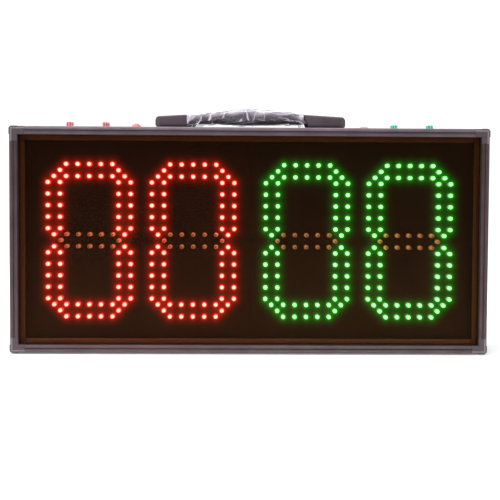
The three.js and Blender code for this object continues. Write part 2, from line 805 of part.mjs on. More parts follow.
// Ring of the grip at one place along it, grown by an allowance: a rounded oblong that is tall and
// wide in the middle and slimmer towards its ends
function gripRing(x, grow) {
  const away = (x / gripHalfLength) ** 2;
  const topRise = gripTop + (gripEndTop - gripTop) * away + grow;
  const under = gripUnderside + (gripEndUnderside - gripUnderside) * away - grow;
  const halfWidth = gripHalfWidth + (gripEndHalfWidth - gripHalfWidth) * away + grow;
  const sides = 12;
  const squareness = 0.7;
  return Array.from({ length: sides }, (_, index) => {
    const turn = ((index + 0.5) / sides) * 2 * Math.PI;
    const across = Math.sign(Math.cos(turn)) * Math.abs(Math.cos(turn)) ** squareness;
    const up = Math.sign(Math.sin(turn)) * Math.abs(Math.sin(turn)) ** squareness;
    return [x, across * halfWidth, (topRise + under) / 2 + (up * (topRise - under)) / 2];
  });
}

function gripSkin(halfLength, grow) {
  const shares = [-1, -0.8, -0.55, -0.25, 0, 0.25, 0.55, 0.8, 1];
  return lofted(shares.map((share) => gripRing(share * halfLength, grow)));
}

function gripSolid() {
  const pocketMiddle = pinRise + tipRise;
  const heights = [pocketMiddle - pocketHalfHeight, pocketMiddle + pocketHalfHeight];
  const depths = bothSides(tipWidth / 2 + fit);
  const inner = gripHalfLength - pocketDepth;
  const outer = gripHalfLength + overrun;
  return cut(
    gripSkin(gripHalfLength, 0),
    block([inner, outer], depths, heights),
    block([-outer, -inner], depths, heights),
  );
}

function buildHandle() {
  const [cap, base] = [capSolid(), capBase()];
  add(top, 'handle_cap_left', cap, 'blackPlastic', { turnZ: Math.PI });
  add(top, 'handle_cap_right', cap, 'blackPlastic');
  add(top, 'handle_base_left', base, 'rubber', { turnZ: Math.PI });
  add(top, 'handle_base_right', base, 'rubber');

  const seat = capUnder + capScrewSeat + fit;
  const screw = turned([
    [0, seat - capScrewLength],
    [capScrewRadius, seat - capScrewLength],
    [capScrewRadius, seat],
    [capScrewHeadRadius, seat],
    [capScrewHeadRadius, seat + capScrewHeadHeight * 0.6],
    [capScrewHeadRadius * 0.6, seat + capScrewHeadHeight],
    [0, seat + capScrewHeadHeight],
  ], 10);
  add(top, 'handle_screw_left', screw, 'steel', { x: -capScrewX });
  add(top, 'handle_screw_right', screw, 'steel', { x: capScrewX });
  const bore = (capScrewRadius + fit) / Math.cos(Math.PI / 6);
  const nut = tube(capNutRadius, bore, -channelUnder, -channelTop, 6);
  add(top, 'handle_nut_left', nut, 'steel', { x: -capScrewX });
  add(top, 'handle_nut_right', nut, 'steel', { x: capScrewX });

  const pinHalf = handleWidth / 2 - capSide + pinSeat - fit;
  const pin = toRear(rod(pinRadius, -pinHalf, pinHalf));
  add(top, 'strap_pin_left', pin, 'steel', { x: -pinX, z: pinRise });
  add(top, 'strap_pin_right', pin, 'steel', { x: pinX, z: pinRise });
  const end = strapEnd();
  add(top, 'strap_end_left', end, 'grip', { x: -pinX, z: pinRise, turnZ: Math.PI });
  add(top, 'strap_end_right', end, 'grip', { x: pinX, z: pinRise });

  add(top, 'strap_grip', gripSolid(), 'grip');
  const filmHalf = gripHalfLength - filmInset;
  const outerSkin = gripSkin(filmHalf, filmGap + filmThickness);
  const innerSkin = gripSkin(filmHalf + overrun, filmGap);
  add(top, 'grip_film', cut(outerSkin, innerSkin), 'film');
}

// Battery, controller and charging socket

// Wrapped pack of cells in two layers that touch, with a shallow notch where two cells meet
function packSolid() {
  const halfLength = (cellsInLine * cellLength) / 2;
  const profile = [[0, -halfLength], [cellRadius, -halfLength]];
  for (let joint = 1; joint < cellsInLine; joint += 1) {
    const place = joint * cellLength - halfLength;
    profile.push([cellRadius, place - cellNotch]);
    profile.push([cellRadius - cellNotch, place]);
    profile.push([cellRadius, place + cellNotch]);
  }
  profile.push([cellRadius, halfLength], [0, halfLength]);
  const lower = toRight(turned(profile, 10));
  const upper = lower.clone().translate(0, 0, 2 * cellRadius - cellOverlap);
  return join(lower, upper);
}

const cradleUnder = ribReach + fit;
const cradleFloorTop = cradleUnder + cradleFloor;
const packRise = cradleFloorTop + fit + cellRadius;
const packHalf = (cellsInLine * cellLength) / 2;

function buildBattery() {
  add(board, 'battery_pack', packSolid(), 'cells', { x: batteryX, z: packRise });
  const [inner, innerHalf] = [packHalf + fit, cellRadius + fit];
  const [outer, outerHalf] = [inner + cradleWall, innerHalf + cradleWall];
  const cradleTop = cradleFloorTop + cradleWallHeight;
  const hollow = block([-inner, inner], [-innerHalf, innerHalf], [cradleFloorTop, cradleTop + overrun]);
  const tray = join(
    cut(block([-outer, outer], [-outerHalf, outerHalf], [cradleUnder, cradleTop]), hollow),
    channelFoot([-inner / 2, inner / 2], cradleUnder + cradleFloor / 2),
  );
  add(board, 'battery_cradle', tray, 'blackPlastic', { x: batteryX });

  const clipInner = outerHalf + fit;
  const clipOuter = clipInner + clipThickness;
  const packTop = packRise + 3 * cellRadius - cellOverlap + fit;
  const half = clipWidth / 2;
  const clip = cut(
    block([-half, half], [-clipOuter, clipOuter], [cradleFloorTop, packTop + clipThickness]),
    block([-half - overrun, half + overrun], [-clipInner, clipInner], [0, packTop]),
  );
  add(board, 'battery_clip', clip, 'steel', { x: batteryX });
}

const controllerFace = controllerThickness / 2;
const controllerFoot = cradleFloorTop + fit;

function buildController() {
  const halfWidth = controllerWidth / 2;
  const thickness = [-controllerFace, controllerFace];
  const rise = controllerHeight;
  const sheet = block([-halfWidth, halfWidth], thickness, [0, rise]);
  const chipDepth = [0, controllerFace + chipThickness];
  const plugDepth = [0, controllerFace + plugThickness];
  const chips = [-2, -0.5, 1].map((share) => {
    const x = share * 1.5 * chipWidth;
    return block([x, x + chipWidth], chipDepth, [rise / 3, rise / 3 + chipHeight]);
  });
  const plugs = plugShares.map((share) => {
    const x = share * plugWidth;
    return block([x, x + plugWidth], plugDepth, [rise - plugHeight, rise]);
  });
  const main = block([-chipWidth, chipWidth], chipDepth, [rise / 2, rise / 2 + 2 * chipHeight]);
  const place = { x: controllerX, z: controllerFoot };
  add(board, 'controller_board', join(sheet, main, ...chips, ...plugs), 'circuit', place);

  const inner = halfWidth + fit;
  const [outer, outerHalf] = [inner + cradleWall, slotGrip + cradleWall];
  const slotTop = controllerFoot + slotGrip * 2;
  const slot = controllerFace + fit;
  const floor = block([-outer, outer], [-outerHalf, outerHalf], [cradleUnder, cradleFloorTop]);
  const ends = bothSides(outer - slotGrip / 2).map((x) => {
    return block([x - slotGrip / 2, x + slotGrip / 2], [-outerHalf, outerHalf], [cradleUnder, slotTop]);
  });
  const tray = join(floor, ...ends, channelFoot([-inner / 2, inner / 2], cradleUnder + cradleFloor / 2));
  const groove = block([-inner, inner], [-slot, slot], [cradleFloorTop, slotTop + overrun]);
  add(board, 'controller_cradle', cut(tray, groove), 'blackPlastic', { x: controllerX });
}

function buildSocket() {
  const bodyEnd = channelUnder + socketBodyLength;
  const halfBody = socketBodyWidth / 2;
  const flangeHalf = socketFlangeLength / 2;
  const flangeDepth = channelHalf - fit;
  const body = join(
    block([-bodyEnd, -channelTop], [-halfBody, halfBody], [-halfBody, halfBody]),
    block([-channelUnder, -channelTop], [-flangeDepth, flangeDepth], [-flangeHalf, flangeHalf]),
    toRight(rod(socketNoseRadius, -channelTop - overrun, -fit, 12)),
  );
  const ring = toRight(tube(socketBoreRadius, socketPinRadius, -socketBoreDepth, overrun, 10));
  add(board, 'charging_socket', cut(body, ring), 'blackPlastic', { x: halfBoard, z: socketRise });
}

// Round lead through points that lie almost in one upright plane, with rounded bends
function lead(points) {
  const corners = points.map((point) => new THREE.Vector3(...point));
  const stations = [];
  const station = (place, direction) => stations.push([place, direction.clone().normalize()]);
  corners.forEach((corner, index) => {
    const before = index > 0 ? corner.clone().sub(corners[index - 1]) : null;
    const after = index + 1 < corners.length ? corners[index + 1].clone().sub(corner) : null;
    if (!before || !after) {
      station(corner, before ?? after);
      return;
    }
    const arrive = corner.clone().sub(before.setLength(leadBend));
    const depart = corner.clone().add(after.setLength(leadBend));
    const bend = new THREE.QuadraticBezierCurve3(arrive, corner, depart);
    for (const share of [0, 0.25, 0.5, 0.75, 1]) station(bend.getPoint(share), bend.getTangent(share));
  });
  const sides = 6;
  const across = new THREE.Vector3(0, 1, 0);
  return lofted(stations.map(([place, direction]) => {
    const up = direction.clone().cross(across).normalize();
    return Array.from({ length: sides }, (_, index) => {
      const turn = (index / sides) * 2 * Math.PI;
      const offset = across.clone().multiplyScalar(leadRadius * Math.cos(turn));
      return place.clone().add(offset).addScaledVector(up, leadRadius * Math.sin(turn)).toArray();
    });
  }));
}

function buildLeads() {
  const plugY = controllerFace + plugThickness / 2;
  const [batteryPlug, leftPlug, rightPlug, socketPlug] = plugShares
    .map((share) => controllerX + (share + 0.5) * plugWidth);
  const overPlugs = controllerFoot + controllerHeight + fit;
  const packEnd = batteryX + packHalf + 2 * fit + cradleWall;
  const packTerminal = packRise + 2 * cellRadius - cellOverlap;
  const batteryUp = packEnd + 2 * leadBend;
  add(board, 'battery_lead', lead([
    [packEnd, 0, packTerminal],
    [batteryUp, 0, packTerminal],
    [batteryUp, 0, lowCrossing],
    [batteryPlug, plugY, lowCrossing],
    [batteryPlug, plugY, overPlugs],
  ]), 'lead');
  const stripUnder = boardHeight - channelUnder - fit;
  const crossing = boardHeight - highCrossing;
  const leftStrip = (domeButtonX + digitButtonInner) / 2;
  add(board, 'switch_lead_left', lead([
    [-leftStrip, 0, stripUnder],
    [-leftStrip, 0, crossing],
    [leftPlug, plugY, crossing],
    [leftPlug, plugY, overPlugs],
  ]), 'lead');
  add(board, 'switch_lead_right', lead([
    [rightPlug, plugY, stripUnder],
    [rightPlug, plugY, overPlugs],
  ]), 'lead');
  const socketEnd = halfBoard - channelUnder - socketBodyLength - fit;
  const socketUp = (socketEnd + controllerX + controllerWidth / 2) / 2;
  add(board, 'socket_lead', lead([
    [socketEnd, 0, socketRise],
    [socketUp, 0, socketRise],
    [socketUp, plugY, lowCrossing],
    [socketPlug, plugY, lowCrossing],
    [socketPlug, plugY, overPlugs],
  ]), 'lead');
}

buildRails();
buildCorners();
buildFeet();
buildWindows();
buildDisplays();
buildSpine();
buildButtons();
buildSwitches();
buildHandle();
buildBattery();
buildController();
buildSocket();
buildLeads();

export default model;
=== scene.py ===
"""Electronic substitution board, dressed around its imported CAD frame. The scene is in metres, with
the front towards -Y. Sizes are in millimetres where no other unit is named."""
import math

import bpy
import numpy as np
from mathutils import Matrix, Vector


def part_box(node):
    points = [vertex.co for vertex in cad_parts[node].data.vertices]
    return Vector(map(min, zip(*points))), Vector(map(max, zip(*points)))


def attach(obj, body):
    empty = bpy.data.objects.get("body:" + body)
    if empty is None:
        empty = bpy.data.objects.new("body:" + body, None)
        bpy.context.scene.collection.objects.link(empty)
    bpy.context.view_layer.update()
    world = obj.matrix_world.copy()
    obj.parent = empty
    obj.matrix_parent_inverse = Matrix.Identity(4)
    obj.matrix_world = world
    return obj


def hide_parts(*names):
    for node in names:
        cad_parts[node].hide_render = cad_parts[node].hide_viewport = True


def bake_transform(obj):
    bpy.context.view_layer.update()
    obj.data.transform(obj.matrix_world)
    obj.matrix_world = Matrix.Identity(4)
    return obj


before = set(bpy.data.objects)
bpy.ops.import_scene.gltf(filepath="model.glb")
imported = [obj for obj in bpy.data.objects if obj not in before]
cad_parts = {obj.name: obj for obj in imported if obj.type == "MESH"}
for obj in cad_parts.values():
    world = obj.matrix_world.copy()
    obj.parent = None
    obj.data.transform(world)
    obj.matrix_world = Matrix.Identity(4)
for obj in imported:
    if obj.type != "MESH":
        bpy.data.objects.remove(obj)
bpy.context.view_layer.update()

MM = 0.001
TURN = 2 * math.pi

# Camera. In pixels: the picture's size, the focal length, and how far down the picture its axis
# lies. Then where it stands, and how it is turned, in radians.
PICTURE_SIZE = 500
FOCAL_LENGTH = 546.4
AXIS_DOWN = 207.7
CAMERA_PLACE = (-7.8, -741.4, 210.8)
CAMERA_YAW, CAMERA_PITCH, CAMERA_ROLL = -0.01066, -0.02522, 0.00571

# Frame, and how far inward the finishes of its lip and of its ledge are drawn
HALF_WIDTH = 313
HALF_HEIGHT = 148
MIDDLE_RISE = 149.5
TOP_FACE = MIDDLE_RISE + HALF_HEIGHT
LIP_RANGE, LEDGE_RANGE = 12, 24

# Lamp boards: how far forward the face stands, thickness, margin in the frame, half the seam
BOARD_FACE, BOARD_THICKNESS, BOARD_MARGIN, HALF_SEAM = 12, 1.6, 2.3, 0.5

# Lamps: the pitch along a stroke and half the pitch across it, how far the digits stand below the
# frame's middle and to each side, and the lens, with its profile as (radius, height)
PITCH, STEP = 15.24, 8
DIGIT_DROP = 1.4
DIGIT_PLACES = (0.2409 * HALF_WIDTH, 0.6784 * HALF_WIDTH)
LENS_PROFILE = ((2.9, 0), (2.9, 0.9), (2.5, 1.0), (2.5, 6.1), (2.36, 7.0), (1.93, 7.8), (1.15, 8.4))
LENS_TIP = 8.6
LENS_SIDES = 10

# Buttons
FLUTED_RADIUS, FLUTES, FLUTE_DEPTH = 5.0, 8, 0.85
DOMED_RADIUS, DOMED_CROWN, DOMED_DEPTH = 6.5, 5.3, 8.5
STEM_RADIUS = 2.0

# Handle. The grip's sections are half width, underside and top, over the rail.
GRIP_HALF = 52.0
GRIP_MIDDLE, GRIP_END = (14.0, 6.3, 26.0), (13.0, 8.5, 22.0)
POCKET_END = 41.0
PIN_ACROSS, PIN_RISE = 80.0, 10.0
CAP_MOUTH = 69.0

# Film: its flat breadth, how far it reaches to each side, and how far it stands off
FILM_GIRTH = 84.0
FILM_LEFT_REACH, FILM_RIGHT_REACH = 84.0, 70.0
FILM_GAP, CREASE_HEIGHT, SWELL_HEIGHT = 0.8, 1.3, 0.35


# Shader values


class Wire:
    """An output of a node. Arithmetic on wires adds Math nodes."""

    def __init__(self, recipe, socket):
        self.recipe, self.socket = recipe, socket

    def __add__(self, other):
        return self.recipe.maths("ADD", self, other)

    def __sub__(self, other):
        return self.recipe.maths("SUBTRACT", self, other)

    def __rsub__(self, other):
        return self.recipe.maths("SUBTRACT", other, self)

    def __mul__(self, other):
        return self.recipe.maths("MULTIPLY", self, other)

    __radd__ = __add__
    __rmul__ = __mul__


class Recipe:
    """The nodes of a material, of the studio's surroundings or of the finished picture."""

    def __init__(self, owner):
        owner.use_nodes = True
        self.owner, self.tree = owner, owner.node_tree
        self.tree.nodes.clear()

    def node(self, kind, settings=None, inputs=(), output=0):
        """Adds a node, makes its settings, then fills its sockets with values or wires."""
        made = self.tree.nodes.new(kind)
        for key, value in (settings or {}).items():
            if key == "stops":
                fill_ramp(made.color_ramp, value)
            else:
                setattr(made, key, value)
        pairs = inputs.items() if isinstance(inputs, dict) else enumerate(inputs)
        for key, value in pairs:
            socket = made.inputs[key]
            if isinstance(value, Wire):
                self.tree.links.new(value.socket, socket)
            else:
                socket.default_value = value
        return Wire(self, made.outputs[output]) if made.outputs else None

    def maths(self, operation, *values):
        """Math on wires or numbers."""
        return self.node("ShaderNodeMath", {"operation": operation}, values)

    def place(self, scale=(1, 1, 1), turn=(0, 0, 0)):
        """Object coordinates, scaled and turned."""
        spot = self.node("ShaderNodeTexCoord", output="Object")
        sockets = {"Vector": spot, "Scale": scale, "Rotation": turn}
        return self.node("ShaderNodeMapping", {}, sockets)

    def axis(self, vector, letter):
        """One coordinate of a vector."""
        return self.node("ShaderNodeSeparateXYZ", {}, [vector], letter)

    def inward(self):
        """Distance in metres inward from the frame's outer faces: the smaller of W/2 - |x| and
        H/2 - |z - middle|."""
        spot = self.node("ShaderNodeTexCoord", output="Object")
        across = self.maths("ABSOLUTE", self.axis(spot, "X"))
        up = self.maths("ABSOLUTE", self.axis(spot, "Z") - MIDDLE_RISE * MM)
        return self.maths("MINIMUM", HALF_WIDTH * MM - across, HALF_HEIGHT * MM - up)

    def noise(self, vector, scale, detail=3.0, roughness=0.55):
        """Cloudy changes around a half."""
        sockets = {"Vector": vector, "Scale": scale, "Detail": detail, "Roughness": roughness}
        return self.node("ShaderNodeTexNoise", {}, sockets, "Fac")

    def ramp(self, value, *stops):
        """Greys or colours over a value, straight between the stops."""
        return self.node("ShaderNodeValToRGB", {"stops": stops}, [value])

    def profile(self, distance, reach, *stops):
        """Greys over a distance, with the stops and the reach in millimetres."""
        share = distance * (1 / (reach * MM))
        return self.ramp(share, *[(place / reach, grey) for place, grey in stops])

    def behind_lip(self, inward):
        """0 on the lip and 1 on the ledge behind the window."""
        return self.profile(inward, LEDGE_RANGE, (11.0, 0.0), (12.5, 1.0))

    def blend(self, share, first, second):
        """A colour between two, by a share."""
        sockets = {0: share, 6: first, 7: second}
        return self.node("ShaderNodeMix", {"data_type": "RGBA"}, sockets, 2)

    def bump(self, height, strength, distance, finer=None):
        """Relief of a height times a distance in metres, over a finer relief if that is given."""
        sockets = {"Height": height, "Strength": strength, "Distance": distance}
        if finer:
            sockets["Normal"] = finer
        return self.node("ShaderNodeBump", {}, sockets)

    def attribute(self, name):
        """A number that the piece's points carry."""
        return self.node("ShaderNodeAttribute", {"attribute_name": name}, output="Fac")

    def shader(self, **sockets):
        """The main surface shader; its sockets are named with _ for a space."""
        named = {key.replace("_", " "): value for key, value in sockets.items()}
        return self.node("ShaderNodeBsdfPrincipled", {}, named)

    def see_through(self, share, tint, surface):
        """A tinted clear sheet with a share of a surface shader."""
        clear = self.node("ShaderNodeBsdfTransparent", {}, {"Color": tint})
        return self.node("ShaderNodeMixShader", {}, {0: share, 1: clear, 2: surface})

    def finish(self, shader):
        """The finished material."""
        self.node("ShaderNodeOutputMaterial", {}, {"Surface": shader})
        return self.owner


def fill_ramp(ramp, stops):
    """Stops are (place, grey or colour)."""
    while len(ramp.elements) < len(stops):
        ramp.elements.new(1.0)
    for element, (place, colour) in zip(ramp.elements, stops):
        element.position = place
        element.color = colour if isinstance(colour, tuple) else (colour, colour, colour, 1)


def material(name):
    """The recipe of a new material."""
    return Recipe(bpy.data.materials.new(name))


def shade(red, green, blue):
    """A full colour."""
    return (red, green, blue, 1)


def dimmed(colour, share):
    """A colour at a share of its brightness."""
    return shade(*(share * part for part in colour[:3]))


# Finishes


def anodised(name, along, dark, light, rim, groove, ledge):
    """Dark anodised aluminium with fine lines along the extrusion and faint handling marks. The lip
    has a raised ridge and a groove, told apart by the distance inward. Painted shade darkens the
    outermost millimetre, the groove and the lip's inner edge; rim and groove say how dark it is at
    the outermost millimetre and in the groove. The ledges behind the windows are paler."""
    recipe = material(name)
    lines_scale = [2400, 2400, 2400]
    lines_scale[along] = 12
    lines = recipe.noise(recipe.place(lines_scale), 1.0, 2.0)
    cloud = recipe.noise(recipe.place(), 34.0, 4.0)
    specks = recipe.noise(recipe.place(), 900.0, 2.0)
    inward = recipe.inward()
    # Painted shade: darkest at the outermost millimetre, in the groove and at the lip's inner edge
    shadow = recipe.profile(inward, LIP_RANGE, (0.9, rim), (1.8, 0.0), (4.2, 0.0), (5.2, groove),
                            (6.4, 0.7 * groove), (8.6, 0.1 * groove), (10.2, 0.0), (10.8, 0.25))
    ridge = recipe.profile(inward, LIP_RANGE, (1.9, 0.0), (3.4, 1.0), (5.4, 0.0), (7.4, 0.1),
                           (9.8, 0.25), (10.8, 0.0))
    bright = recipe.ramp(cloud * 0.7 + lines * 0.3, (0.3, dark), (0.72, light))
    # The lip is blended toward a near-black colour where the painted shade lies
    lip = recipe.blend(shadow, bright, shade(0.040, 0.030, 0.036))
    tone = recipe.blend(recipe.behind_lip(inward), lip, ledge)
    roughness = 0.34 + 0.16 * lines + 0.10 * cloud
    fine = recipe.bump(lines + 0.25 * specks, 0.35, 0.00003)
    relief = recipe.bump(ridge, 1.0, 0.0004, fine)
    surface = recipe.shader(Base_Color=tone, Metallic=0.72, Roughness=roughness, Normal=relief)
    return recipe.finish(surface)


def moulded(name, dark, light, grain=1500.0, rough=0.42, depth=0.00006):
    """Moulded plastic with an eroded grain and slight changes of tone."""
    recipe = material(name)
    grains = recipe.noise(recipe.place(), grain, 3.0, 0.6)
    cloud = recipe.noise(recipe.place(), 45.0, 3.0)
    tone = recipe.ramp(cloud * 0.6 + grains * 0.4, (0.3, dark), (0.7, light))
    relief = recipe.bump(grains, 0.5, depth)
    surface = recipe.shader(Base_Color=tone, Roughness=rough + 0.18 * grains, Normal=relief)
    return recipe.finish(surface)


def corner_moulding():
    """Corner plastic: fine grain, a painted highlight line where the outer edge is rounded over,
    which is also raised as relief, and a paler ledge behind the window."""
    recipe = material("corner_moulding")
    grains = recipe.noise(recipe.place(), 1500.0, 3.0, 0.6)
    inward = recipe.inward()
    # Painted highlight along the rounded-over outer edge, blended toward a pale colour below
    line = recipe.profile(inward, LIP_RANGE, (1.4, 0.0), (2.6, 1.0), (3.2, 1.0), (4.2, 0.0))
    plain = recipe.ramp(grains, (0.3, shade(0.064, 0.047, 0.056)),
                        (0.7, shade(0.102, 0.076, 0.090)))
    lip = recipe.blend(line * 0.8, plain, shade(0.30, 0.25, 0.28))
    tone = recipe.blend(recipe.behind_lip(inward), lip, shade(0.22, 0.20, 0.19))
    relief = recipe.bump(line, 1.0, 0.0003, recipe.bump(grains, 0.5, 0.00006))
    surface = recipe.shader(Base_Color=tone, Roughness=0.42 + 0.18 * grains, Normal=relief)
    return recipe.finish(surface)


def smoked():
    """Smoked brown acrylic: mostly clear with a brown tint, and a weak soft reflection with
    smears."""
    recipe = material("smoked_acrylic")
    smears = recipe.noise(recipe.place((1, 1, 2.5)), 9.0, 5.0, 0.6)
    tone = recipe.ramp(smears, (0.3, shade(0.028, 0.016, 0.009)), (0.7, shade(0.036, 0.021, 0.012)))
    surface = recipe.shader(Base_Color=tone, Roughness=0.28 + 0.05 * smears, IOR=1.49,
                            Specular_Tint=shade(1.0, 0.62, 0.36))
    return recipe.finish(recipe.see_through(0.13, shade(0.75, 0.56, 0.43), surface))


def solder_mask(name, dark, light):
    """Circuit board: a satin lacquer over faintly raised tracks."""
    recipe = material(name)
    sockets = {"Vector": recipe.place(turn=(math.pi / 2, 0, 0)), "Scale": 60.0,
               "Mortar Size": 0.035, "Brick Width": 0.9, "Row Height": 0.3}
    tracks = recipe.node("ShaderNodeTexBrick", {"offset": 0.35}, sockets, "Fac")
    cloud = recipe.noise(recipe.place(), 25.0, 4.0)
    tone = recipe.ramp(cloud * 0.8 + tracks * 0.2, (0.3, dark), (0.75, light))
    relief = recipe.bump(tracks, 0.3, 0.00004)
    surface = recipe.shader(Base_Color=tone, Roughness=0.30 + 0.15 * cloud, Normal=relief)
    return recipe.finish(surface)


def lit_lamp(name, core, rim, power):
    """Tinted epoxy with its die alight: hottest at the dome, saturated down the sides."""
    recipe = material(name)
    height = recipe.attribute("lens_height")
    glow = recipe.ramp(height, (0.0, rim), (0.62, rim), (0.68, core), (1.0, core))
    surface = recipe.shader(Base_Color=rim, Roughness=0.2, Emission_Color=glow,
                            Emission_Strength=power)
    return recipe.finish(surface)


def dark_lamp():
    """Clear epoxy that is not alight: a painted highlight in a pale ring around the darker cup of
    the die, and a weak painted glow that stands in for the light it picks up from its neighbours."""
    recipe = material("dark_lamp")
    height = recipe.attribute("lens_height")
    # Painted highlight: the pale ring near the top of the lens
    tone = recipe.ramp(height, (0.0, shade(0.55, 0.50, 0.45)), (0.80, shade(0.90, 0.86, 0.80)),
                       (0.93, shade(0.75, 0.62, 0.52)), (1.0, shade(0.25, 0.10, 0.06)))
    # Painted glow, though the lamp is not alight: strongest at the ring
    glow = recipe.ramp(height, (0.0, shade(0.55, 0.34, 0.19)), (0.80, shade(0.62, 0.385, 0.21)),
                       (0.93, shade(0.30, 0.12, 0.07)), (1.0, shade(0.18, 0.05, 0.04)))
    surface = recipe.shader(Base_Color=tone, Roughness=0.16 + 0.1 * height, Emission_Color=glow,
                            Emission_Strength=1.0)
    return recipe.finish(surface)


def translucent(name, deep, bright, glow):
    """Translucent moulded cap: painted shade in its flutes, and a soft painted glow."""
    recipe = material(name)
    cloud = recipe.noise(recipe.place(), 260.0, 3.0)
    fine = recipe.noise(recipe.place(), 2600.0, 2.0)
    face = recipe.ramp(cloud, (0.3, deep), (0.65, bright))
    # Painted shade in the flutes
    tone = recipe.blend(recipe.attribute("hollow") * 0.85, face, dimmed(deep, 0.3))
    # The glow is painted light: the caps are not lamps
    surface = recipe.shader(Base_Color=tone, Roughness=0.26 + 0.12 * fine, Subsurface_Weight=0.35,
                            Subsurface_Scale=0.002, Emission_Color=tone, Emission_Strength=glow)
    return recipe.finish(surface)


def metal(name, tone, rough):
    """Plated steel with fine turning marks."""
    recipe = material(name)
    marks = recipe.noise(recipe.place(), 1400.0, 3.0)
    colour = recipe.ramp(marks, (0.3, dimmed(tone, 0.8)), (0.7, tone))
    surface = recipe.shader(Base_Color=colour, Metallic=1.0, Roughness=rough + 0.15 * marks)
    return recipe.finish(surface)


def wrapping_film():
    """Thin clear film: seen through face on, glossy where it turns away, whiter where creased, with
    painted highlights along the folds, over its upper half and at its left end.
    """
    recipe = material("clear_film")
    # The crease value is the film's whitening together with painted highlights
    crease = recipe.attribute("crease")
    haze = recipe.noise(recipe.place(), 60.0, 2.0)
    edge = recipe.node("ShaderNodeLayerWeight", {}, {"Blend": 0.25}, "Facing")
    share = recipe.ramp(edge * 0.25 + crease * 0.75 + haze * 0.05, (0.05, 0.26), (0.85, 0.94))
    # Pale colour of the whitened folds and of the painted highlights
    fold_and_highlight_tone = recipe.ramp(crease, (0.1, shade(0.17, 0.145, 0.19)), (0.7, shade(0.88, 0.81, 0.95)))
    surface = recipe.shader(Base_Color=fold_and_highlight_tone, Roughness=0.10 + 0.16 * haze, IOR=2.4)
    return recipe.finish(recipe.see_through(share, shade(0.98, 0.98, 0.99), surface))


finishes = {
    # The three rails are one anodised aluminium; their different tones are painted light and shade:
    # the top rail's lip is painted lighter, the bottom rail's and the uprights' darker, and the
    # uprights' ledges darker than the others. Rim and groove set each rail's painted shade.
    "rail_top": anodised("anodised_top", 0, shade(0.158, 0.122, 0.143), shade(0.255, 0.202, 0.230),
                         rim=0.0, groove=0.85, ledge=shade(0.40, 0.375, 0.345)),
    "rail_bottom": anodised("anodised_bottom", 0, shade(0.106, 0.078, 0.086),
                            shade(0.174, 0.132, 0.146),
                            rim=0.5, groove=0.55, ledge=shade(0.44, 0.40, 0.36)),
    "rail_upright": anodised("anodised_upright", 2, shade(0.084, 0.056, 0.060),
                             shade(0.140, 0.097, 0.104),
                             rim=0.9, groove=0.3, ledge=shade(0.32, 0.29, 0.25)),
    "dark_steel": metal("dark_steel", shade(0.030, 0.024, 0.020), 0.45),
    "painted": moulded("black_paint", shade(0.006, 0.005, 0.004), shade(0.014, 0.012, 0.010),
                       grain=800.0, rough=0.5),
    "corner": corner_moulding(),
    "cap": moulded("cap_moulding", shade(0.072, 0.050, 0.067), shade(0.116, 0.085, 0.107),
                   grain=1100.0, rough=0.45),
    # The seal is a piece of the frame; its near-black tone also stands in for the shadow that the
    # lip casts on the window: painted shade
    "seal_and_shadow": moulded("window_seal_and_painted_shadow", shade(0.026, 0.011, 0.006), shade(0.042, 0.018, 0.010),
                    grain=700.0, rough=0.8),
    "inner": moulded("inner_moulding", shade(0.020, 0.020, 0.021), shade(0.040, 0.040, 0.042),
                     grain=900.0),
    "rubber": moulded("black_rubber", shade(0.010, 0.010, 0.010), shade(0.022, 0.021, 0.021),
                      grain=700.0, rough=0.7),
    "grip": moulded("grip_rubber", shade(0.060, 0.044, 0.058), shade(0.110, 0.084, 0.106),
                    grain=1300.0, rough=0.45, depth=0.0001),
    "pane": smoked(),
    "lamp_board": solder_mask("lamp_board", shade(0.0085, 0.007, 0.0055),
                              shade(0.0225, 0.018, 0.014)),
    "circuit": solder_mask("green_circuit", shade(0.004, 0.030, 0.012), shade(0.010, 0.070, 0.028)),
    "red_lit": lit_lamp("red_lamp_lit", shade(1.0, 0.12, 0.155), shade(0.062, 0.0036, 0.013),
                        power=31.0),
    "green_lit": lit_lamp("green_lamp_lit", shade(0.050, 0.78, 0.155), shade(0.015, 0.046, 0.040),
                          power=30.0),
    "dark_lamp": dark_lamp(),
    # The caps' glow is painted light
    "red_cap": translucent("red_cap", shade(0.80, 0.15, 0.19), shade(1.0, 0.38, 0.41), glow=0.46),
    "green_cap": translucent("green_cap", shade(0.05, 0.52, 0.28), shade(0.20, 0.88, 0.56),
                             glow=0.48),
    "orange_cap": translucent("orange_cap", shade(0.62, 0.17, 0.13), shade(0.82, 0.27, 0.22),
                              glow=0.22),
    "steel": metal("plated_steel", shade(0.66, 0.66, 0.68), 0.24),
    "wrap": moulded("cell_wrap", shade(0.012, 0.07, 0.25), shade(0.03, 0.13, 0.42),
                    grain=500.0, rough=0.25, depth=0.00003),
    "sheath": moulded("lead_sheath", shade(0.010, 0.010, 0.011), shade(0.03, 0.03, 0.032),
                      grain=900.0, rough=0.4),
    "film": wrapping_film(),
}

